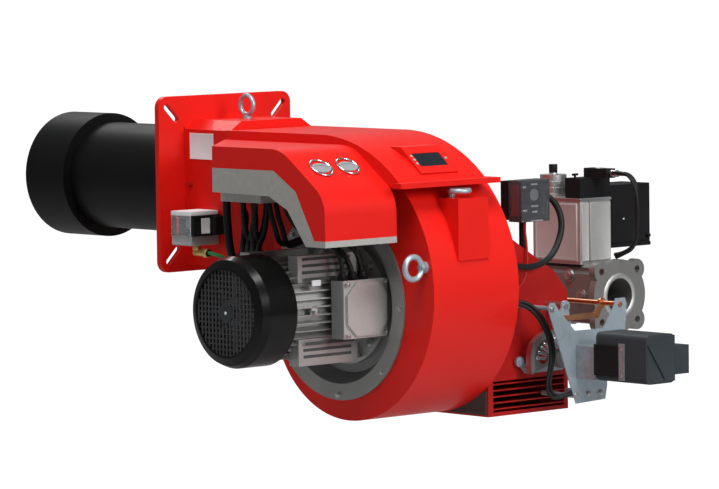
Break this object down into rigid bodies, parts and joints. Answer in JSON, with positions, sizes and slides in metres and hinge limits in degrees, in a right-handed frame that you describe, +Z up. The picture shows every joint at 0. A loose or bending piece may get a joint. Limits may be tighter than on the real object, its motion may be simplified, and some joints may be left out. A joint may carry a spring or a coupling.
{
  "type": "industrial gas burner",
  "caption": "Forced-draught gas burner: blast tube, square mounting flange, scroll fan with side motor, cam-driven air damper and gas throttle, gas valve train and control panel.",
  "frame": {"origin": "centre of the mounting flange's front face, on the blast tube's axis", "axes": "-X is the flame's direction, out of the boiler side of the flange; -Y is the fan motor's side; +Z is up"},
  "size_m": [1.713, 1.3916, 0.7856],
  "materials": {
    "red_paint": "semi-gloss",
    "dark_red_paint": "semi-gloss",
    "black_steel": "heat-resistant satin black",
    "black_plastic": "matte",
    "cast_aluminium": "rough cast",
    "zinc_steel": "galvanised",
    "steel": "satin",
    "chrome": "polished",
    "copper": "copper plated",
    "grey_plastic": "matte",
    "display": "gloss",
    "black_rubber": "matte"
  },
  "bodies": {
    "burner": {"mounting_flange": "red_paint", "blast_tube": "black_steel", "flame_cup": "black_steel", "fan_housing": "red_paint", "top_hood": "red_paint", "display_screen": "display", "panel_tray": "zinc_steel", "panel_cover": "red_paint", "panel_windows": "grey_plastic", "motor_plate": "cast_aluminium", "plate_screws": "steel", "motor_shields": "cast_aluminium", "motor_frame": "cast_aluminium", "terminal_box": "cast_aluminium", "terminal_lid": "cast_aluminium", "fan_cowl": "black_steel", "cowl_guard": "black_steel", "inlet_cone": "red_paint", "air_inlet_box": "dark_red_paint", "servo_bracket": "zinc_steel", "pivot_post": "steel", "servo_gearbox": "black_plastic", "servo_drive": "black_plastic", "throttle_body": "cast_aluminium", "gas_supply_pipe": "cast_aluminium", "gas_riser": "red_paint", "gas_valve": "cast_aluminium", "valve_coil": "cast_aluminium", "valve_cap": "black_plastic", "gas_regulator": "chrome", "valve_side_box": "black_plastic", "front_switch": "grey_plastic", "rear_switch": "grey_plastic", "lifting_eyes": "zinc_steel", "panel_cables": "black_rubber", "motor_cable": "black_rubber", "valve_cable": "black_rubber"},
    "combustion_head": {"gas_lance": "steel", "diffuser_disc": "steel", "ignition_rods": "grey_plastic"},
    "fan_rotor": {"impeller": "steel", "motor_shaft": "steel", "cooling_fan": "black_plastic"},
    "cam_drive": {"damper_rear": "zinc_steel", "cam_disc": "zinc_steel", "cam_band": "steel", "cam_screws": "steel"},
    "front_blade": {"damper_front": "zinc_steel"},
    "blade_link": {"damper_link": "zinc_steel"},
    "follower": {"follower_lever": "zinc_steel"},
    "roller": {"cam_roller": "steel"},
    "gas_bar": {"gas_link": "copper"},
    "throttle": {"throttle_rod": "copper"},
    "upper_key": {"key_upper": "grey_plastic"},
    "middle_key": {"key_middle": "grey_plastic"},
    "lower_key": {"key_lower": "grey_plastic"},
    "right_key": {"key_right": "grey_plastic"},
    "front_knob": {"front_dial": "grey_plastic"},
    "rear_knob": {"rear_dial": "grey_plastic"}
  },
  "joints": [
    {"name": "fan_spin", "type": "hinge", "parent": "burner", "child": "fan_rotor", "pos_m": [0.536, 0, -0.274], "axis": [0, 1, 0], "continuous": true},
    {"name": "head_slide", "type": "slide", "parent": "burner", "child": "combustion_head", "axis": [-1, 0, 0], "range_m": [0, 0.015]},
    {"name": "cam_turn", "type": "hinge", "parent": "burner", "child": "cam_drive", "pos_m": [0.8, 0.402, -0.432], "axis": [-1, 0, 0], "range_deg": [0, 90]},
    {"name": "front_blade_turn", "type": "hinge", "parent": "burner", "child": "front_blade", "pos_m": [0.773, 0.287, -0.432], "axis": [-1, 0, 0], "range_deg": [0, 90]},
    {"name": "blade_link_turn", "type": "hinge", "parent": "cam_drive", "child": "blade_link", "pos_m": [0.778, 0.42463, -0.45463], "axis": [-1, 0, 0], "range_deg": [-90, 0]},
    {"name": "follower_turn", "type": "hinge", "parent": "burner", "child": "follower", "pos_m": [0.821, 0.398, -0.3], "axis": [1, 0, 0], "range_deg": [0, 60]},
    {"name": "roller_turn", "type": "hinge", "parent": "follower", "child": "roller", "pos_m": [0.8, 0.40807, -0.35712], "axis": [1, 0, 0], "continuous": true},
    {"name": "gas_bar_turn", "type": "hinge", "parent": "follower", "child": "gas_bar", "pos_m": [0.827, 0.37599, -0.32899], "axis": [1, 0, 0], "range_deg": [-60, 0]},
    {"name": "throttle_turn", "type": "hinge", "parent": "burner", "child": "throttle", "pos_m": [0.17, 0.527, -0.3], "axis": [1, 0, 0], "range_deg": [0, 60]},
    {"name": "front_knob_turn", "type": "hinge", "parent": "burner", "child": "front_knob", "pos_m": [0.117, -0.198, -0.092], "axis": [0, -1, 0], "range_deg": [0, 270]},
    {"name": "rear_knob_turn", "type": "hinge", "parent": "burner", "child": "rear_knob", "pos_m": [0.77, 0.344, -0.024], "axis": [1, 0, 0], "range_deg": [0, 270]},
    {"name": "upper_key_press", "type": "slide", "parent": "burner", "child": "upper_key", "axis": [-0.6464, 0, -0.763], "range_m": [0, 0.001], "stiffness_N_per_m": 400},
    {"name": "middle_key_press", "type": "slide", "parent": "burner", "child": "middle_key", "axis": [-0.6464, 0, -0.763], "range_m": [0, 0.001], "stiffness_N_per_m": 400},
    {"name": "lower_key_press", "type": "slide", "parent": "burner", "child": "lower_key", "axis": [-0.6464, 0, -0.763], "range_m": [0, 0.001], "stiffness_N_per_m": 400},
    {"name": "right_key_press", "type": "slide", "parent": "burner", "child": "right_key", "axis": [-0.6464, 0, -0.763], "range_m": [0, 0.001], "stiffness_N_per_m": 400}
  ],
  "couplings": [
    {"joint": "front_blade_turn", "follows": "cam_turn", "ratio": 1},
    {"joint": "blade_link_turn", "follows": "cam_turn", "ratio": -1},
    {"joint": "follower_turn", "follows": "cam_turn", "ratio": 0.66667},
    {"joint": "gas_bar_turn", "follows": "cam_turn", "ratio": -0.66667},
    {"joint": "throttle_turn", "follows": "cam_turn", "ratio": 0.66667}
  ]
}
